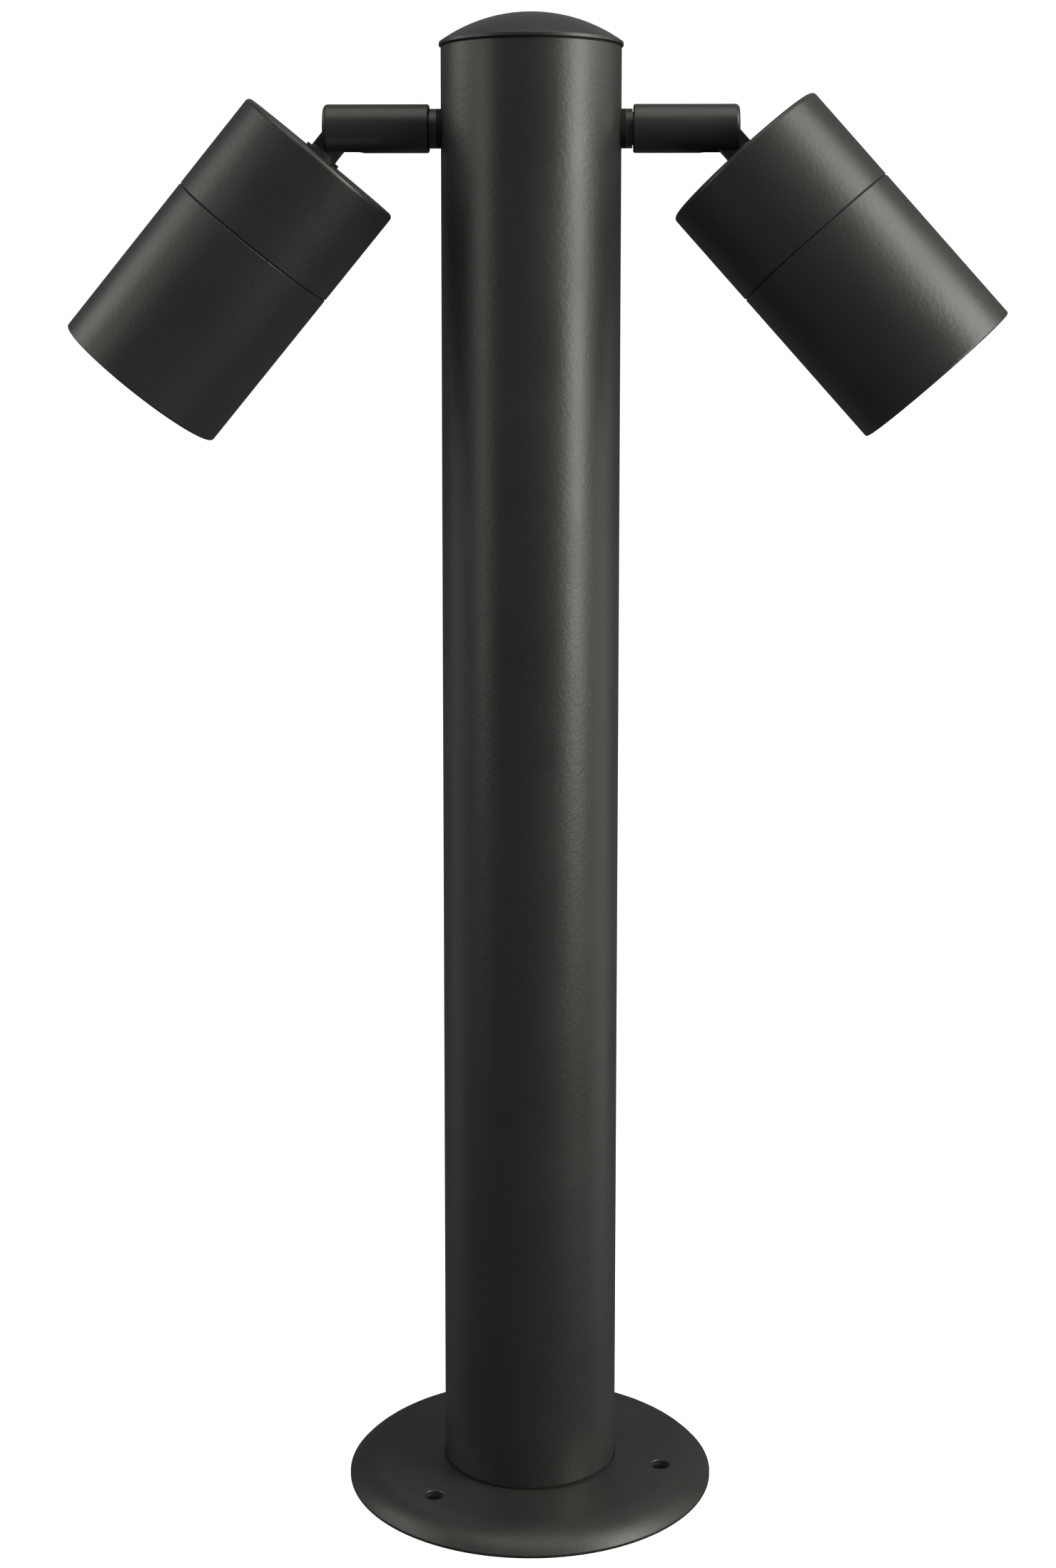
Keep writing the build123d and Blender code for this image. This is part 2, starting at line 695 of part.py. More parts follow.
# ---------------------------------------------------------------- knuckle and neck, in the head frame
with BuildPart() as knuckle:
    with BuildSketch(Plane.XZ):
        Circle(tongue_width / 2)
        Rectangle(tongue_width, tongue_length, align=(Align.CENTER, Align.MIN))
    extrude(amount=tongue_thickness / 2, both=True)
    ring(neck_diameter / 2, 0, tongue_length, neck_reach)
    ring(neck_collar_diameter / 2, 0, neck_reach - neck_collar, neck_reach)
    ring(stem_thread_diameter / 2 - running_gap / 2, 0, neck_reach, neck_reach + neck_tail)
    with BuildSketch(Plane.XZ):
        Circle(pivot_screw_diameter / 2 + running_gap / 2)
    extrude(amount=tongue_thickness, both=True, mode=Mode.SUBTRACT)
    bore_low = tongue_length - wire_way_overlap
    ring(neck_bore / 2, 0, bore_low, neck_reach + neck_tail, mode=Mode.SUBTRACT)
    wire_way = Plane(origin=(0, 0, bore_low), z_dir=(-1, 0, -wire_way_slope))
    with BuildSketch(wire_way):
        Circle(tongue_thickness / 3)
    extrude(amount=tongue_width, mode=Mode.SUBTRACT)

with BuildPart() as neck_seal:
    ring(
        neck_seal_diameter / 2,
        stem_thread_diameter / 2 + running_gap / 2,
        housing_back,
        housing_back + neck_seal_thickness,
    )

with BuildPart() as neck_lock_nut:
    with BuildSketch(Plane.XY.offset(housing_floor)):
        RegularPolygon(lock_nut_across_flats / 2, 6, major_radius=False)
        Circle(stem_thread_diameter / 2, mode=Mode.SUBTRACT)
    extrude(amount=neck_nut_thickness)
    chamfer(neck_lock_nut.faces().sort_by(Axis.Z)[-1].outer_wire().edges(), lock_nut_chamfer)

# ---------------------------------------------------------------- rear housing
with BuildPart() as rear_housing:
    turn(
        (stem_thread_diameter / 2 + running_gap, housing_back),
        (head_radius, housing_back),
        (head_radius, seam),
        (spigot_radius, seam),
        (spigot_radius, seam + spigot_length),
        (spigot_bore_radius, seam + spigot_length),
        (spigot_bore_radius, seam - spigot_root),
        (cavity_radius, seam - spigot_root),
        (cavity_radius, housing_floor),
        (stem_thread_diameter / 2 + running_gap, housing_floor),
    )
    rim_edges = rear_housing.edges().filter_by(GeomType.CIRCLE).group_by(SortBy.RADIUS)[-1]
    fillet(rim_edges.sort_by(Axis.Z)[0], housing_edge_round)
    rim_edges = rear_housing.edges().filter_by(GeomType.CIRCLE).group_by(SortBy.RADIUS)[-1]
    chamfer(rim_edges.sort_by(Axis.Z)[-1], seam_chamfer)
    ring(
        neck_seal_diameter / 2 + running_gap,
        0,
        housing_back,
        housing_back + neck_seal_thickness,
        mode=Mode.SUBTRACT,
    )
    ring(
        barrel_bore_radius,
        o_ring_radius - o_ring_section / 2,
        o_ring_station - o_ring_section / 2 - running_gap,
        o_ring_station + o_ring_section / 2 + running_gap,
        mode=Mode.SUBTRACT,
    )
    with BuildSketch(Plane.XY.offset(housing_floor)):
        with GridLocations(0, 2 * bracket_screw_y, 1, 2):
            Circle(boss_diameter / 2)
    extrude(amount=boss_height)
    with BuildSketch(Plane.XY.offset(bracket_feet)):
        with GridLocations(0, 2 * bracket_screw_y, 1, 2):
            Circle(head_screw_diameter / 2)
    extrude(amount=-(boss_height + housing_back_wall / 2), mode=Mode.SUBTRACT)

with BuildPart() as housing_o_ring:
    with BuildSketch(Plane.XZ):
        with Locations((o_ring_radius, o_ring_station)):
            Circle(o_ring_section / 2)
    revolve(axis=Axis.Z)

# ---------------------------------------------------------------- front barrel and its window
snap_groove_radius = barrel_bore_radius + snap_groove_depth
with BuildPart() as front_barrel:
    turn(
        (barrel_bore_radius, seam + face_gap),
        (head_radius, seam + face_gap),
        (head_radius, head_front),
        (head_radius - barrel_lip_width, head_front),
        (head_radius - barrel_lip_width, lip_back),
        (barrel_bore_radius, lip_back),
    )
    rim_edges = front_barrel.edges().group_by(Axis.Z)
    fillet(rim_edges[-1].sort_by(SortBy.RADIUS)[-1:], barrel_front_round)
    chamfer(front_barrel.edges().group_by(Axis.Z)[-1].sort_by(SortBy.RADIUS)[:1], barrel_front_round)
    chamfer(front_barrel.edges().group_by(Axis.Z)[0].sort_by(SortBy.RADIUS)[-1:], seam_chamfer)
    ring(
        snap_groove_radius,
        0,
        lens_back - snap_ring_thickness - running_gap,
        lens_back,
        mode=Mode.SUBTRACT,
    )

with BuildPart() as lens_gasket:
    ring(lens_radius, head_radius - barrel_lip_width, lens_front, lip_back)

with BuildPart() as lens_glass:
    ring(lens_radius, 0, lens_back, lens_front)
    chamfer(lens_glass.edges(), lens_chamfer)

snap_ring_radius = snap_groove_radius - running_gap
with BuildPart() as lens_snap_ring:
    ring(
        snap_ring_radius,
        snap_ring_radius - snap_ring_width,
        lens_back - snap_ring_thickness,
        lens_back,
    )
    with BuildSketch(Plane.XY.offset(lens_back - snap_ring_thickness)):
        with Locations((-head_radius, 0)):
            Rectangle(head_radius, snap_ring_opening)
    extrude(amount=snap_ring_thickness, mode=Mode.SUBTRACT)

# ---------------------------------------------------------------- lampholder and bracket
with BuildPart() as holder_bracket:
    with BuildSketch(Plane.YZ.offset(-bracket_width / 2)):
        half_span = bracket_span / 2
        foot_end = half_span + bracket_foot
        with BuildLine():
            Polyline(
                (-foot_end, bracket_feet),
                (-half_span + bracket_sheet, bracket_feet),
                (-half_span + bracket_sheet, bracket_top - bracket_sheet),
                (half_span - bracket_sheet, bracket_top - bracket_sheet),
                (half_span - bracket_sheet, bracket_feet),
                (foot_end, bracket_feet),
                (foot_end, bracket_feet + bracket_sheet),
                (half_span, bracket_feet + bracket_sheet),
                (half_span, bracket_top),
                (-half_span, bracket_top),
                (-half_span, bracket_feet + bracket_sheet),
                (-foot_end, bracket_feet + bracket_sheet),
                close=True,
            )
        make_face()
    extrude(amount=bracket_width)
    fillet(holder_bracket.edges().filter_by(Axis.X).group_by(Axis.Z)[-1], bracket_sheet / 2)
    with BuildSketch(Plane.XY.offset(bracket_feet)):
        with GridLocations(0, 2 * bracket_screw_y, 1, 2):
            Circle(head_screw_diameter / 2 + running_gap)
    extrude(amount=bracket_sheet, mode=Mode.SUBTRACT)
    with BuildSketch(Plane.XY.offset(bracket_top - bracket_sheet)):
        Circle(bracket_wire_hole / 2)
        with GridLocations(0, holder_screw_spacing, 1, 2):
            Circle(head_screw_diameter / 2)
    extrude(amount=bracket_sheet, mode=Mode.SUBTRACT)

holder_screw_length = holder_height - holder_screw_sink + bracket_sheet
holder_screw_seat = holder_top - holder_screw_sink
chamber_low = holder_top - holder_face - holder_chamber_depth
pin_slot_radius = pin_shank_diameter / 2 + pin_play
pin_room_radius = pin_head_diameter / 2 + pin_play
with BuildPart() as lampholder:
    ring(holder_diameter / 2, 0, bracket_top, holder_top)
    chamfer(lampholder.edges().group_by(Axis.Z)[-1], holder_edge_chamfer)
    with BuildSketch(Plane.XY.offset(chamber_low)):
        for side in (0, 180):
            with Locations(Rot(0, 0, side)):
                SlotArc(CenterArc((0, 0), pin_spacing / 2, 0, lamp_twist), 2 * pin_room_radius)
    extrude(amount=holder_chamber_depth, mode=Mode.SUBTRACT)
    with BuildSketch(Plane.XY.offset(holder_top - holder_face)):
        for side in (0, 180):
            with Locations(Rot(0, 0, side)):
                SlotArc(CenterArc((0, 0), pin_spacing / 2, 0, lamp_twist), 2 * pin_slot_radius)
            with PolarLocations(pin_spacing / 2, 1, side + lamp_twist):
                Circle(pin_room_radius)
    extrude(amount=holder_face, mode=Mode.SUBTRACT)
    with BuildSketch(Plane.XY.offset(bracket_top)):
        with GridLocations(0, holder_screw_spacing, 1, 2):
            Circle(head_screw_diameter / 2 + running_gap)
        with GridLocations(pin_spacing, 0, 2, 1):
            Circle(lead_diameter / 2 + running_gap)
    extrude(amount=holder_height, mode=Mode.SUBTRACT)
    with BuildSketch(Plane.XY.offset(holder_screw_seat)):
        with GridLocations(0, holder_screw_spacing, 1, 2):
            Circle(head_screw_head_diameter / 2 + running_gap)
    extrude(amount=holder_height, mode=Mode.SUBTRACT)


def head_screw(length):
    """One of the small screws inside a spot head."""
    return socket_screw(
        head_screw_diameter - running_gap,
        length,
        head_screw_head_diameter,
        head_screw_head_height,
        head_screw_drive,
    )


with BuildPart() as head_screws:
    with Locations((0, 0, bracket_feet + bracket_sheet)):
        with GridLocations(0, 2 * bracket_screw_y, 1, 2):
            add(head_screw(bracket_sheet + boss_height))
    with Locations((0, 0, holder_screw_seat)):
        with GridLocations(0, holder_screw_spacing, 1, 2):
            add(head_screw(holder_screw_length))

# ---------------------------------------------------------------- reflector lamp
lamp_radius = lamp_diameter / 2
bowl_radius = lamp_radius - lamp_rim_width
bowl_top = lamp_front - lamp_lens_thickness
with BuildPart() as lamp_body:
    with BuildSketch(Plane.XZ):
        with BuildLine():
            base_edge = (lamp_base_diameter / 2, lamp_back + lamp_base_length)
            rim_low = (lamp_radius, lamp_front - lamp_rim)
            Polyline((0, lamp_back), (lamp_base_diameter / 2, lamp_back), base_edge)
            Spline(base_edge, rim_low, tangents=lamp_flare)
            rim_inside = (bowl_radius, bowl_top)
            Polyline(rim_low, (lamp_radius, lamp_front), (bowl_radius, lamp_front), rim_inside)
            bowl_edge = (bowl_radius - lamp_lens_ledge, bowl_top)
            Line(rim_inside, bowl_edge)
            bowl_floor = (lamp_bowl_floor, bowl_top - lamp_bowl_depth)
            Spline(bowl_edge, bowl_floor, tangents=lamp_bowl_curve)
            Polyline(bowl_floor, (0, bowl_top - lamp_bowl_depth), (0, lamp_back))
        make_face()
    revolve(axis=Axis.Z)
    fillet(lamp_body.edges().group_by(Axis.Z)[-1].sort_by(SortBy.RADIUS)[-1:], lamp_rim_round)

with BuildPart() as lamp_lens:
    with BuildSketch(Plane.XZ):
        with BuildLine():
            crown = (0, lamp_front + lamp_lens_crown)
            lens_edge = (bowl_radius - running_gap, lamp_front - lamp_rim_round)
            TangentArc(crown, lens_edge, tangent=(1, 0))
            Polyline(lens_edge, (bowl_radius - running_gap, bowl_top), (0, bowl_top), crown)
        make_face()
    revolve(axis=Axis.Z)

with BuildPart() as lamp_pins:
    with BuildSketch(Plane.XY.offset(lamp_back)):
        with GridLocations(pin_spacing, 0, 2, 1):
            Circle(pin_shank_diameter / 2)
    extrude(amount=-pin_length)
    with BuildSketch(Plane.XY.offset(lamp_back - pin_length)):
        with GridLocations(pin_spacing, 0, 2, 1):
            Circle(pin_head_diameter / 2)
    extrude(amount=pin_head_length)

lead_x = lead_diameter / 2 + running_gap
lead_start = tongue_length
lead_fan = neck_reach + neck_tail + lead_straight
lead_end = bracket_top + lead_in_holder
one_lead = wire(
    lead_diameter,
    [lead_bend, lead_bend],
    (lead_x, 0, lead_start),
    (lead_x, 0, lead_fan),
    (pin_spacing / 2, 0, bracket_top - 3 * bracket_sheet),
    (pin_spacing / 2, 0, lead_end),
)
with BuildPart() as lamp_leads:
    add(one_lead)
    add(one_lead.rotate(Axis.Z, 180))

# ---------------------------------------------------------------- wiring inside the post
cable_low = block_top + cable_sheath_end
cable_in_bore = post_bore_radius / 2
with BuildPart() as feed_cables:
    for side in (-1, 1):
        add(
            wire(
                cable_diameter,
                [cable_bend, 2 * cable_bend],
                (-side * cable_offset_x, side * cable_offset_y, cable_low),
                (-side * cable_offset_x, side * cable_offset_y, arm_height),
                (side * cable_in_bore, 0, arm_height),
                (side * (spigot_end - cable_set_back), 0, arm_height),
            )
        )

core_pair = core_diameter / 2 + running_gap / 2
with BuildPart() as feed_cores:
    for side in (-1, 1):
        for pole in (-1, 0, 1):
            start_x = -side * cable_offset_x + pole * core_spread
            start_y = side * cable_offset_y + (core_spread / 2 if pole == 0 else -core_spread / 2)
            end_x, end_y = pole * pole_pitch, block_centre_y + side * core_pair
            add(
                wire(
                    core_diameter,
                    [core_bend, core_bend],
                    (start_x, start_y, cable_low),
                    (start_x, start_y, cable_low - core_straight),
                    (end_x, end_y, block_top + core_above_block),
                    (end_x, end_y, block_top - core_in_block),
                )
            )

# ---------------------------------------------------------------- placing and writing
post_pieces = {
    "base_plate": base_plate,
    "foot_casting": foot_casting,
    "foot_screws": foot_screws,
    "tube_grub_screws": tube_grub_screws,
    "gland_body": gland_body,
    "gland_seal": gland_seal,
    "gland_nut": gland_nut,
    "terminal_block": terminal_block,
    "terminal_clamps": terminal_clamps,
    "terminal_screws": terminal_screws,
    "block_screw": block_screw,
    "foot_seal": foot_seal,
    "post_tube": post_tube,
    "cap_seal": cap_seal,
    "post_cap": post_cap,
    "feed_cables": feed_cables,
    "feed_cores": feed_cores,
}
# One on each side of the post, fixed to it, so each pair is one node of two solids
paired_pieces = {
    "swivel_stems": swivel_stem,
    "saddle_gaskets": saddle_gasket,
    "stem_lock_nuts": stem_lock_nut,
}
arm_pieces = {
    "arm_sleeve": arm_sleeve,
    "sleeve_set_screw": sleeve_set_screw,
    "pivot_screw": pivot_screw,
    "friction_washers": friction_washers,
}
head_pieces = {
    "knuckle": knuckle,
    "neck_seal": neck_seal,
    "neck_lock_nut": neck_lock_nut,
    "rear_housing": rear_housing,
    "housing_o_ring": housing_o_ring,
    "holder_bracket": holder_bracket,
    "lampholder": lampholder,
    "head_screws": head_screws,
    "lamp_leads": lamp_leads,
    "lamp_body": lamp_body,
    "lamp_lens": lamp_lens,
    "lamp_pins": lamp_pins,
    "front_barrel": front_barrel,
    "lens_gasket": lens_gasket,
    "lens_glass": lens_glass,
    "lens_snap_ring": lens_snap_ring,
}


def write(shape, name):
    """Labels a finished piece and writes it as its own STEP file."""
    shape.label = name
    export_step(shape, f"parts/{name}.step")


os.makedirs("parts", exist_ok=True)
for name, piece in post_pieces.items():
    write(piece.part, name)
for name, piece in paired_pieces.items():
    write(Compound(children=[piece.part.moved(frame) for frame in arm_frames.values()]), name)
for side in arm_frames:
    for name, piece in arm_pieces.items():
        drawn = mirror(piece.part, about=Plane.XZ) if side == "left" else piece.part
        write(drawn.moved(arm_place(side)), f"{side}_{name}")
    for name, piece in head_pieces.items():
        write(piece.part.moved(head_place(side)), f"{side}_{name}")
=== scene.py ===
import json
import math

import bmesh
import bpy
from mathutils import Matrix, Vector


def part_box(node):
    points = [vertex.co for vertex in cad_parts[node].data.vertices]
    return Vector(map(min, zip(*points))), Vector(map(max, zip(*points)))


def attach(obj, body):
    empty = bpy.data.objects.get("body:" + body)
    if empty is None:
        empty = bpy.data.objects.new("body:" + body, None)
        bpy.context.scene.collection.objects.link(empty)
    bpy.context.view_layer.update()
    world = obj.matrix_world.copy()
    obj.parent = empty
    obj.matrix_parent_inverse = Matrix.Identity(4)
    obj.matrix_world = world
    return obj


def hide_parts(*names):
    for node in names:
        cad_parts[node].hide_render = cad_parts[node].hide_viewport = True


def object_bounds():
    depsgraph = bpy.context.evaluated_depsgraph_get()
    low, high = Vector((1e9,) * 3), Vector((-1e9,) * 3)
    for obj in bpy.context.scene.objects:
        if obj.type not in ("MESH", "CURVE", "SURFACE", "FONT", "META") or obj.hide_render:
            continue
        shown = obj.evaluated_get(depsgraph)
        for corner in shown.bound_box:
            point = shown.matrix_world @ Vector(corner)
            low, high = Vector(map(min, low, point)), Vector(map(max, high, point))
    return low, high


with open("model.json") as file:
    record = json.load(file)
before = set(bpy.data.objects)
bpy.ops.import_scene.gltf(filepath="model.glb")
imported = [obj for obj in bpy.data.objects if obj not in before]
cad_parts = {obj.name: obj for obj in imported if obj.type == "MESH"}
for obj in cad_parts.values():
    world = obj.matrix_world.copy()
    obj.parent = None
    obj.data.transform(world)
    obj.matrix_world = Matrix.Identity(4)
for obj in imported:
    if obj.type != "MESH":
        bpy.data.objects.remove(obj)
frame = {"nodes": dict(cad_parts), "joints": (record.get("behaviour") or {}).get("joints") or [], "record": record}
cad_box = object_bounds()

scene = bpy.context.scene
low, high = (Vector(corner) for corner in cad_box)
height = high.z - low.z

# ---------------------------------------------------------------- camera
# Fitted to the photograph: the place in metres, the turn about Z, the drop below level, the roll.
CAMERA_AT = Vector((0.0179, -0.7989, 0.4004))
CAMERA_TURN = math.radians(1.35)
CAMERA_DROP = math.radians(7.0)
CAMERA_ROLL = math.radians(0.04)
LENS_MM = 54.28
SENSOR_MM = 36.0
FRAME_SHIFT = -0.102
CLIP_START = 0.01


def make_camera():
    """The camera at the photograph's viewing angle, its frame shifted down past the lens axis."""
    data = bpy.data.cameras.new("camera")
    data.lens = LENS_MM
    data.sensor_width = SENSOR_MM
    data.shift_y = FRAME_SHIFT
    data.clip_start = CLIP_START
    camera = bpy.data.objects.new("camera", data)
    turn = Matrix.Rotation(CAMERA_TURN, 4, "Z")
    drop = Matrix.Rotation(math.pi / 2 - CAMERA_DROP, 4, "X")
    roll = Matrix.Rotation(CAMERA_ROLL, 4, "Z")
    camera.matrix_world = Matrix.Translation(CAMERA_AT) @ turn @ drop @ roll
    scene.collection.objects.link(camera)
    scene.camera = camera


make_camera()


# ---------------------------------------------------------------- material helpers
# The middle of a noise's range, where nearly all of its values lie.
NOISE_LOW = 0.3
NOISE_HIGH = 0.7
# The Mix node has one set of sockets per data type; these are the factor's and the colours'.
MIX_FACTOR, MIX_FIRST, MIX_SECOND, MIX_RESULT = 0, 6, 7, 2
WHITE = (1.0, 1.0, 1.0, 1.0)


class Paint:
    """A Principled material with its node tree, and short ways to add texture to it."""

    def __init__(self, name, colour, roughness, metallic=0.0, specular=0.5):
        self.material = bpy.data.materials.new(name)
        self.material.use_nodes = True
        self.material.diffuse_color = (*colour, 1.0)
        self.tree = self.material.node_tree
        self.shader = self.tree.nodes["Principled BSDF"]
        self.set("Base Color", (*colour, 1.0))
        self.set("Roughness", roughness)
        self.set("Metallic", metallic)
        self.set("Specular IOR Level", specular)
        self.colour = colour
        self.roughness = roughness
        self.where = self.node("ShaderNodeTexCoord").outputs["Object"]
        self.relief = None

    def node(self, kind, **inputs):
        """A new node with some of its inputs set or linked, by socket name."""
        made = self.tree.nodes.new(kind)
        for name, value in inputs.items():
            self.feed(made.inputs[name.replace("_", " ")], value)
        return made

    def feed(self, socket, value):
        """Links an output to a socket, or sets the socket's value."""
        if isinstance(value, bpy.types.NodeSocket):
            self.tree.links.new(value, socket)
        else:
            socket.default_value = value

    def set(self, name, value):
        """Sets or links one of the shader's own sockets."""
        self.feed(self.shader.inputs[name], value)

    def noise(self, size, detail=2.0, stretch=(1.0, 1.0, 1.0), rough=0.5):
        """Noise whose features are about size metres across, 0 to 1."""
        scaled = self.node("ShaderNodeMapping", Vector=self.where, Scale=stretch)
        made = self.node(
            "ShaderNodeTexNoise",
            Vector=scaled.outputs["Vector"],
            Scale=1.0 / size,
            Detail=detail,
            Roughness=rough,
        )
        return made.outputs["Fac"]

    def cells(self, size):
        """Distance to the nearest of many random points about size metres apart."""
        made = self.node("ShaderNodeTexVoronoi", Vector=self.where, Scale=1.0 / size)
        return made.outputs["Distance"]

    def spread(self, value, low, high, low_out, high_out):
        """Maps a value's range low..high onto low_out..high_out."""
        made = self.node("ShaderNodeMapRange")
        for index, number in enumerate((value, low, high, low_out, high_out)):
            self.feed(made.inputs[index], number)
        return made.outputs["Result"]

    def blend(self, factor, first, second):
        """A colour between two colours."""
        made = self.node("ShaderNodeMix")
        made.data_type = "RGBA"
        self.feed(made.inputs[MIX_FACTOR], factor)
        self.feed(made.inputs[MIX_FIRST], first)
        self.feed(made.inputs[MIX_SECOND], second)
        return made.outputs[MIX_RESULT]

    def shade(self, factor, darkest, lightest):
        """The base colour times a share that runs from darkest to lightest with the factor."""
        dark = (*(channel * darkest for channel in self.colour), 1.0)
        light = (*(channel * lightest for channel in self.colour), 1.0)
        self.set("Base Color", self.blend(factor, dark, light))

    def dull(self, factor, change):
        """Roughness that rises and falls by change with the factor."""
        smooth, rough = self.roughness - change, self.roughness + change
        self.set("Roughness", self.spread(factor, NOISE_LOW, NOISE_HIGH, smooth, rough))

    def bump(self, factor, depth):
        """Relief depth metres deep, on top of any relief made before."""
        made = self.node("ShaderNodeBump", Height=factor, Strength=1.0, Distance=depth)
        if self.relief:
            self.feed(made.inputs["Normal"], self.relief)
        self.relief = made.outputs["Normal"]
        self.set("Normal", self.relief)


# ---------------------------------------------------------------- materials
def powder_coat():
    """Satin black powder coat, a little warm: a fine orange peel, cloudy gloss and small flecks."""
    paint = Paint("powder_coat", (0.0360, 0.0360, 0.0324), roughness=0.40, specular=0.90)
    paint.set("Specular Tint", (1.0, 0.995, 0.90, 1.0))
    cloud = paint.noise(0.035, detail=4.0)
    fleck = paint.noise(0.0011, detail=3.0)
    mixed = paint.blend(0.35, cloud, fleck)
    paint.shade(mixed, 0.72, 1.30)
    paint.dull(cloud, 0.035)
    paint.bump(paint.noise(0.0016, detail=2.0), 0.00006)
    paint.bump(paint.cells(0.0007), 0.000014)
    return paint.material


def stainless_steel():
    """Turned stainless: fine streaks in its gloss and colour."""
    paint = Paint("stainless_steel", (0.56, 0.55, 0.53), roughness=0.30, metallic=1.0)
    streak = paint.noise(0.0008, detail=3.0, stretch=(1.0, 0.1, 1.0))
    paint.shade(streak, 0.82, 1.08)
    paint.dull(streak, 0.08)
    paint.bump(streak, 0.000006)
    return paint.material


def zinc_plate():
    """Bright zinc plate, with a faint spangle and a warm and cool tint."""
    paint = Paint("zinc_plate", (0.62, 0.62, 0.60), roughness=0.34, metallic=1.0)
    spangle = paint.cells(0.0032)
    tint = paint.noise(0.012, detail=3.0)
    paint.set("Base Color", paint.blend(tint, (0.50, 0.53, 0.58, 1.0), (0.66, 0.64, 0.56, 1.0)))
    paint.dull(spangle, 0.09)
    paint.bump(spangle, 0.00001)
    return paint.material


def brass():
    """Machined brass, dulled in patches."""
    paint = Paint("brass", (0.68, 0.48, 0.20), roughness=0.28, metallic=1.0)
    tarnish = paint.noise(0.004, detail=5.0)
    paint.shade(tarnish, 0.6, 1.1)
    paint.dull(tarnish, 0.12)
    paint.bump(paint.noise(0.0005, stretch=(1.0, 1.0, 0.2)), 0.000005)
    return paint.material


def rubber():
    """Moulded rubber with a faint bloom."""
    paint = Paint("rubber", (0.013, 0.013, 0.013), roughness=0.72, specular=0.35)
    bloom = paint.noise(0.006, detail=5.0)
    paint.shade(bloom, 0.6, 1.9)
    paint.dull(bloom, 0.08)
    paint.bump(paint.noise(0.0004, detail=3.0), 0.00002)
    return paint.material


def black_nylon():
    """Glass-filled black nylon with a spark-eroded skin."""
    paint = Paint("black_nylon", (0.016, 0.016, 0.017), roughness=0.52, specular=0.45)
    skin = paint.noise(0.0006, detail=4.0)
    paint.shade(paint.noise(0.004), 0.8, 1.3)
    paint.dull(skin, 0.08)
    paint.bump(skin, 0.00003)
    return paint.material


def white_nylon():
    """Natural nylon: milky, and a little see-through at its edges."""
    paint = Paint("white_nylon", (0.74, 0.73, 0.68), roughness=0.42)
    milk = paint.noise(0.007, detail=3.0)
    paint.shade(milk, 0.9, 1.05)
    paint.dull(milk, 0.05)
    paint.set("Subsurface Weight", 0.15)
    paint.set("Subsurface Radius", (0.002, 0.002, 0.0016))
    paint.bump(paint.noise(0.0009), 0.00001)
    return paint.material


def ceramic():
    """Pressed, unglazed steatite with darker grains."""
    paint = Paint("ceramic", (0.80, 0.78, 0.71), roughness=0.58)
    grain = paint.noise(0.0009, detail=5.0)
    specks = paint.spread(paint.cells(0.0024), 0.0, 0.18, 0.0, 1.0)
    pale = paint.blend(grain, (0.72, 0.70, 0.62, 1.0), (0.86, 0.84, 0.78, 1.0))
    paint.set("Base Color", paint.blend(specks, (0.42, 0.38, 0.32, 1.0), pale))
    paint.dull(grain, 0.08)
    paint.bump(grain, 0.00004)
    return paint.material


def window_glass():
    """Clear toughened glass with a trace of dust."""
    paint = Paint("window_glass", (0.93, 0.97, 0.96), roughness=0.03)
    paint.set("IOR", 1.5)
    paint.set("Transmission Weight", 1.0)
    dust = paint.noise(0.009, detail=6.0)
    paint.set("Roughness", paint.spread(dust, 0.45, 0.8, 0.01, 0.12))
    paint.bump(paint.noise(0.02), 0.00002)
    return paint.material


def lamp_glass():
    """The lamp's own front lens: clear moulding, a little milky."""
    paint = Paint("lamp_glass", (0.93, 0.94, 0.91), roughness=0.10)
    paint.set("IOR", 1.49)
    paint.set("Transmission Weight", 0.92)
    paint.dull(paint.noise(0.003), 0.04)
    paint.bump(paint.noise(0.0012), 0.00002)
    return paint.material


def phosphor():
    """The yellow phosphor over a lamp's light-emitting chips, cast in clear silicone."""
    paint = Paint("phosphor", (0.78, 0.56, 0.08), roughness=0.20)
    dots = paint.spread(paint.cells(0.0011), 0.15, 0.4, 0.0, 1.0)
    paint.shade(dots, 0.72, 1.08)
    paint.dull(paint.noise(0.002), 0.05)
    paint.bump(dots, 0.00005)
    return paint.material


def lamp_shell():
    """Glossy white thermoplastic, with faint sink and flow marks."""
    paint = Paint("lamp_shell", (0.78, 0.78, 0.75), roughness=0.24)
    flow = paint.noise(0.011, detail=3.0)
    paint.shade(flow, 0.93, 1.04)
    paint.dull(flow, 0.06)
    paint.bump(flow, 0.00008)
    return paint.material


def cable_sheath():
    """Black rubber cable sheath, slightly ribbed round the cores."""
    paint = Paint("cable_sheath", (0.017, 0.017, 0.018), roughness=0.62, specular=0.4)
    rub = paint.noise(0.003, detail=4.0, stretch=(1.0, 1.0, 0.25))
    paint.shade(rub, 0.7, 1.6)
    paint.dull(rub, 0.07)
    paint.bump(rub, 0.00006)
    return paint.material


def core_insulation():
    """The cores' insulation, from brown to blue across the block."""
    paint = Paint("core_insulation", (0.20, 0.10, 0.05), roughness=0.38)
    across = paint.node("ShaderNodeSeparateXYZ", Vector=paint.where).outputs["X"]
    side = paint.spread(across, -0.0045, 0.0045, 0.0, 1.0)
    hue = paint.blend(side, (0.17, 0.075, 0.035, 1.0), (0.03, 0.08, 0.30, 1.0))
    paint.set("Base Color", paint.blend(paint.noise(0.002), hue, (0.12, 0.12, 0.11, 1.0)))
    paint.dull(paint.noise(0.001), 0.06)
    paint.bump(paint.noise(0.0006), 0.00001)
    return paint.material


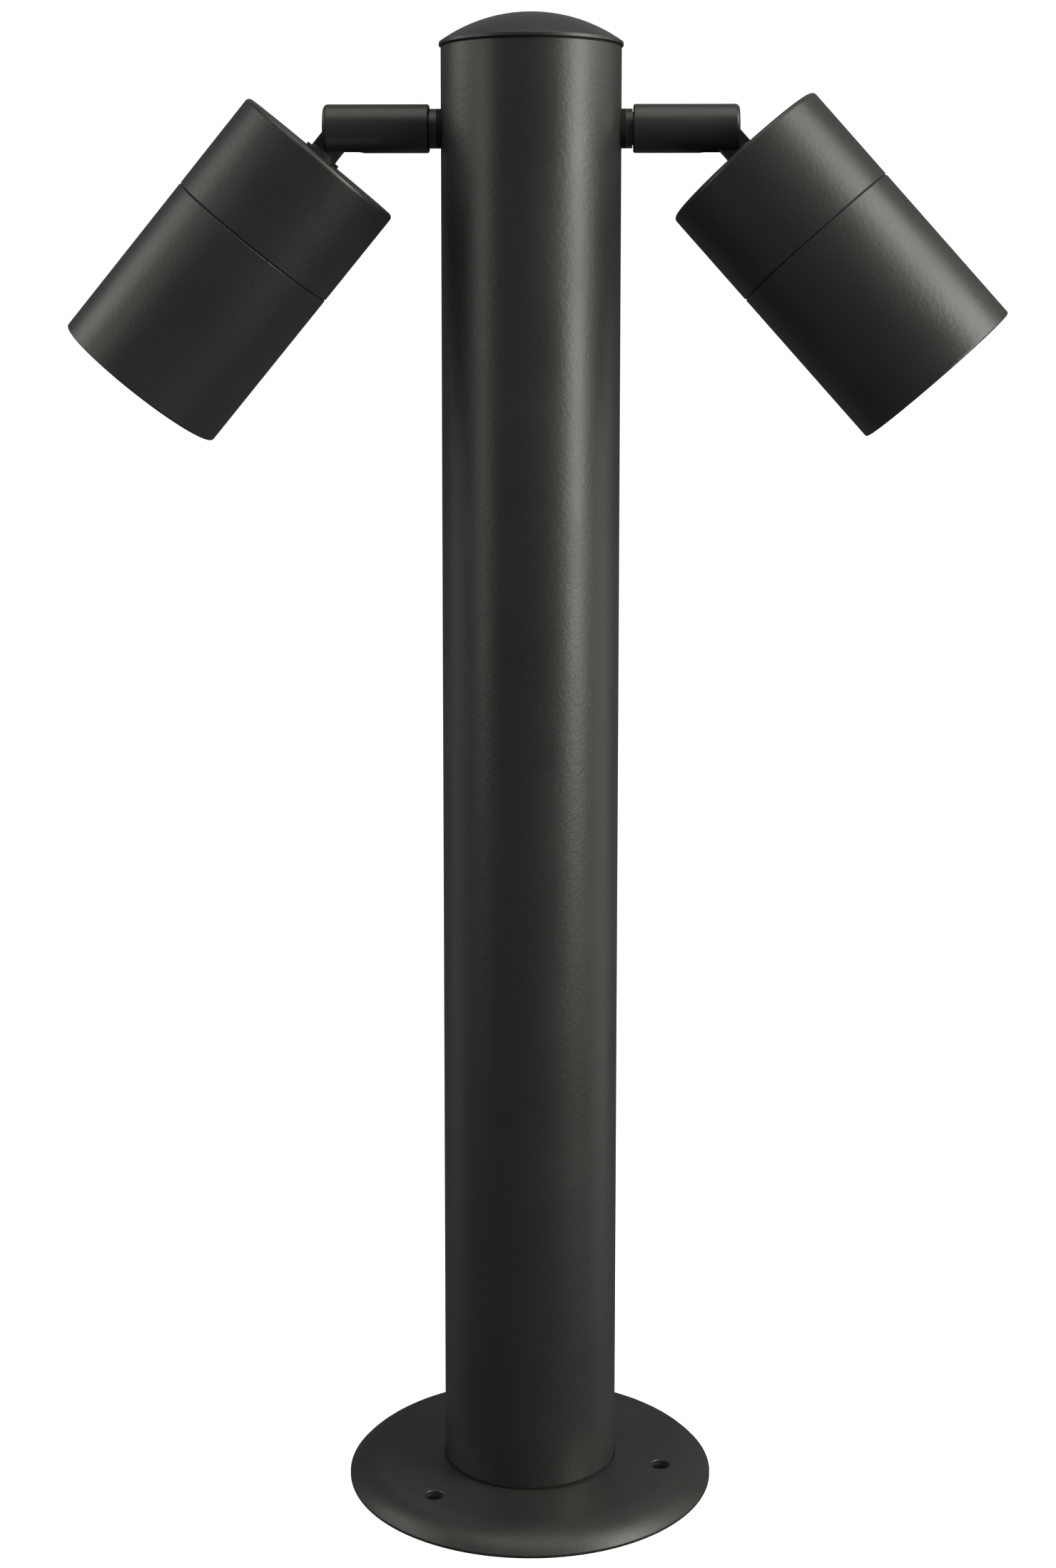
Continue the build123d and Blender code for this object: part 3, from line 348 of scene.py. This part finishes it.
def sleeving():
    """White silicone-glass sleeving with a fine braid."""
    paint = Paint("sleeving", (0.74, 0.72, 0.66), roughness=0.66)
    braid = paint.noise(0.0004, detail=1.0, stretch=(1.0, 1.0, 2.2))
    paint.shade(braid, 0.78, 1.06)
    paint.dull(braid, 0.08)
    paint.bump(braid, 0.00006)
    return paint.material


FINISHES = {
    "black_powder_coat": powder_coat,
    "stainless_steel": stainless_steel,
    "zinc_plated_steel": zinc_plate,
    "black_rubber": rubber,
    "black_nylon": black_nylon,
    "white_nylon": white_nylon,
    "brass": brass,
    "white_ceramic": ceramic,
    "clear_glass": window_glass,
    "lamp_glass": lamp_glass,
    "lamp_white": lamp_shell,
    "cable_sheath": cable_sheath,
    "core_insulation": core_insulation,
    "lead_sleeving": sleeving,
}


def paint_frame():
    """Gives every CAD node the finish that its slot in the record names."""
    materials = {slot: make() for slot, make in FINISHES.items()}
    for part in frame["record"]["subparts"]:
        node = frame["nodes"][part["node"]]
        node.data.materials.clear()
        node.data.materials.append(materials[part["material_slot"]])


paint_frame()


# ---------------------------------------------------------------- lamp faces
LENSLET_PITCH = 0.0052
LENSLET_RISE = 0.0009
# Shares of the lens's radius: where the lenslets end, and over how much of it they fade out.
LENSLETS_END = 0.94
LENSLETS_FADE = 0.04
LENS_RINGS = 48
LENS_SPOKES = 144
LENS_RIM = 0.0014
LENS_CLEARANCE = 0.0001
CHIP_RADIUS = 0.0048
CHIP_THICKNESS = 0.0007
CHIP_RINGS = 3
CHIP_SPOKES = 48


def lamp_frame(side):
    """A lamp's own frame, and the radius and thickness of its CAD lens.

    The frame's z points forwards along the lamp's axis, from the back face of that lens.
    """
    twist = next(joint for joint in frame["joints"] if joint["name"] == f"{side}_lamp_twist")
    axis, pivot = Vector(twist["axis"]), Vector(twist["pos_m"])
    points = [vertex.co - pivot for vertex in frame["nodes"][f"{side}_lamp_lens"].data.vertices]
    along = [point.dot(axis) for point in points]
    radius = max((point - axis * point.dot(axis)).length for point in points)
    turned = axis.to_track_quat("Z", "Y").to_matrix().to_4x4()
    place = Matrix.Translation(pivot + axis * min(along)) @ turned
    return place, radius, max(along) - min(along)


def lenslet(x, y):
    """How far a point is from the nearest lenslet's middle, 0 to 1, on a hexagonal lattice."""
    row_pitch = LENSLET_PITCH * math.sqrt(3) / 2
    row = round(y / row_pitch)
    gaps = []
    for line in (row - 1, row, row + 1):
        shift = (line % 2) / 2
        column = round(x / LENSLET_PITCH - shift) + shift
        gaps.append(math.hypot(x - column * LENSLET_PITCH, y - line * row_pitch))
    return min(gaps) / (LENSLET_PITCH / math.sqrt(3))


def lens_height(x, y, radius, thickness):
    """The lens's front at a point: a rim, and inside it a low crown covered in lenslets."""
    out = math.hypot(x, y) / radius
    top = thickness - LENSLET_RISE
    crown = top - (top - LENS_RIM) * out**2
    inside = min(1.0, max(0.0, (LENSLETS_END - out) / LENSLETS_FADE))
    return crown + LENSLET_RISE * inside * (1.0 - lenslet(x, y) ** 2)


def make_piece(name, shape, place, material, body):
    """A mesh piece of the builder's own, placed, painted and riding on a body."""
    mesh = bpy.data.meshes.new(name)
    bmesh.ops.recalc_face_normals(shape, faces=shape.faces)
    shape.to_mesh(mesh)
    shape.free()
    mesh.transform(place)
    mesh.materials.append(material)
    for face in mesh.polygons:
        face.use_smooth = True
    piece = bpy.data.objects.new(name, mesh)
    scene.collection.objects.link(piece)
    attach(piece, body)
    return piece


def disc_mesh(rings, spokes, radius, front):
    """A closed disc about Z from z = 0 to a front surface whose height is a function of x and y."""
    shape = bmesh.new()
    middle = shape.verts.new((0.0, 0.0, front(0.0, 0.0)))
    turns = [2 * math.pi * spoke / spokes for spoke in range(spokes)]
    loops = []
    for ring in range(1, rings + 1):
        reach = radius * ring / rings
        spots = [(reach * math.cos(turn), reach * math.sin(turn)) for turn in turns]
        loops.append([shape.verts.new((x, y, front(x, y))) for x, y in spots])
    loops.append([shape.verts.new((vertex.co.x, vertex.co.y, 0.0)) for vertex in loops[-1]])
    for spoke in range(spokes):
        after = (spoke + 1) % spokes
        shape.faces.new((middle, loops[0][spoke], loops[0][after]))
        for inner, outer in zip(loops, loops[1:]):
            shape.faces.new((inner[spoke], outer[spoke], outer[after], inner[after]))
    shape.faces.new(loops[-1])
    return shape


def make_lamp_face(side):
    """The lamp's lens with its moulded lenslets, and the light-emitting disc in the bowl."""
    place, radius, thickness = lamp_frame(side)
    lens = make_piece(
        f"{side}_lenslet_plate",
        disc_mesh(
            LENS_RINGS,
            LENS_SPOKES,
            radius - LENS_CLEARANCE,
            lambda x, y: lens_height(x, y, radius, thickness),
        ),
        place,
        lamp_glass(),
        f"{side}_lamp",
    )
    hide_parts(f"{side}_lamp_lens")
    axis = place.to_3x3() @ Vector((0.0, 0.0, 1.0))
    hit, bottom, _, _ = frame["nodes"][f"{side}_lamp_body"].ray_cast(place.translation, -axis)
    on_bowl = Matrix.Translation(bottom - place.translation) @ place if hit else place
    make_piece(
        f"{side}_light_disc",
        disc_mesh(CHIP_RINGS, CHIP_SPOKES, CHIP_RADIUS, lambda x, y: CHIP_THICKNESS),
        on_bowl,
        phosphor(),
        f"{side}_lamp",
    )


for side in ("left", "right"):
    make_lamp_face(side)


# ---------------------------------------------------------------- floor and light
STUDIO_RADIUS = 5.0
FLOOR_SEGMENTS = 96
DOME_SEGMENTS = 48
DOME_RINGS = 24
FLOOR_DROP = 0.0002
# The floor's glow carries a painted shadow under the flange: it goes from dark to white between these shares of
# the flange's radius.
PAINTED_SHADOW_TO = 0.90
WHITE_FROM = 0.97
WHITE_GLOW = 1.05
PAPER_CLOUDS = 0.5
SURROUND_STRENGTH = 0.070
# Where the softboxes aim, as shares of the object's height.
HEADS = 0.80
MIDDLE = 0.45
# Azimuth from the camera's side and elevation in degrees; distance, width and height in metres;
# watts; aim.
SOFTBOXES = {
    "right_softbox": (61, 5, 0.9, 0.30, 0.75, 4.0, HEADS),
    "left_softbox": (-62, 5, 1.2, 0.28, 0.9, 1.33, HEADS),
    "right_fill": (106, -2, 1.6, 0.9, 1.3, 2.33, MIDDLE),
    "left_fill": (-108, -2, 1.6, 0.8, 1.3, 1.0, MIDDLE),
    "right_upper": (79, 32, 1.0, 0.6, 0.6, 4.0, HEADS),
    "left_upper": (-95, 24, 1.1, 0.6, 0.6, 2.0, HEADS),
    "top_softbox": (10, 80, 1.1, 1.2, 1.0, 3.83, HEADS),
    "rear_softbox": (180, 36, 1.5, 1.4, 0.8, 0.67, HEADS),
}


def paper(name, make_shape, material):
    """A sheet of white studio paper, which the camera sees but the object doesn't mirror."""
    shape = bmesh.new()
    make_shape(shape)
    mesh = bpy.data.meshes.new(name)
    shape.to_mesh(mesh)
    shape.free()
    mesh.materials.append(material)
    sheet = bpy.data.objects.new(name, mesh)
    scene.collection.objects.link(sheet)
    sheet.visible_glossy = False
    sheet.visible_diffuse = False
    sheet.visible_shadow = False
    return sheet


def white_paper(name):
    """Matt paper, lit evenly to full white."""
    paint = Paint(name, (0.80, 0.80, 0.80), roughness=0.9, specular=0.0)
    paint.shade(paint.noise(PAPER_CLOUDS), 0.98, 1.0)
    paint.set("Emission Color", WHITE)
    paint.set("Emission Strength", WHITE_GLOW)
    return paint


def make_studio():
    """A pale floor with a painted shadow where the flange covers it, and a white dome around it."""
    flange_low, flange_high = (Vector(corner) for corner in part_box("base_plate"))
    covered = (flange_high.x - flange_low.x) / 2
    paint = white_paper("floor_paper")
    from_axis = paint.node("ShaderNodeVectorMath", Vector=paint.where)
    from_axis.operation = "LENGTH"
    # Painted shadow: the floor's glow drops to nothing under the flange, so the floor shows dark through its
    # holes.
    glow = paint.spread(
        from_axis.outputs["Value"], PAINTED_SHADOW_TO * covered, WHITE_FROM * covered, 0.0, WHITE_GLOW
    )
    paint.set("Emission Strength", glow)
    floor = paper(
        "floor",
        lambda shape: bmesh.ops.create_circle(
            shape, cap_ends=True, segments=FLOOR_SEGMENTS, radius=STUDIO_RADIUS
        ),
        paint.material,
    )
    floor.location.z = low.z - FLOOR_DROP
    paper(
        "dome",
        lambda shape: bmesh.ops.create_uvsphere(
            shape, u_segments=DOME_SEGMENTS, v_segments=DOME_RINGS, radius=STUDIO_RADIUS
        ),
        white_paper("dome_paper").material,
    )


def softbox(name, azimuth, elevation, distance, width, tall, watts, level):
    """An area light that faces a point on the object's axis, level shares of its height up."""
    data = bpy.data.lights.new(name, "AREA")
    data.shape = "RECTANGLE"
    data.size = width
    data.size_y = tall
    data.energy = watts
    light = bpy.data.objects.new(name, data)
    around, up = math.radians(azimuth), math.radians(elevation)
    flat = math.cos(up)
    away = Vector((math.sin(around) * flat, -math.cos(around) * flat, math.sin(up)))
    light.location = Vector((0.0, 0.0, low.z + level * height)) + away * distance
    light.rotation_euler = away.to_track_quat("Z", "Y").to_euler()
    scene.collection.objects.link(light)


def make_light():
    """A dim surround, a tall softbox on each side, and fills at the sides, above and behind."""
    world = bpy.data.worlds.new("surround")
    scene.world = world
    world.use_nodes = True
    background = world.node_tree.nodes["Background"]
    background.inputs["Color"].default_value = WHITE
    background.inputs["Strength"].default_value = SURROUND_STRENGTH
    for name, settings in SOFTBOXES.items():
        softbox(name, *settings)
    scene.view_settings.view_transform = "Standard"


make_studio()
make_light()
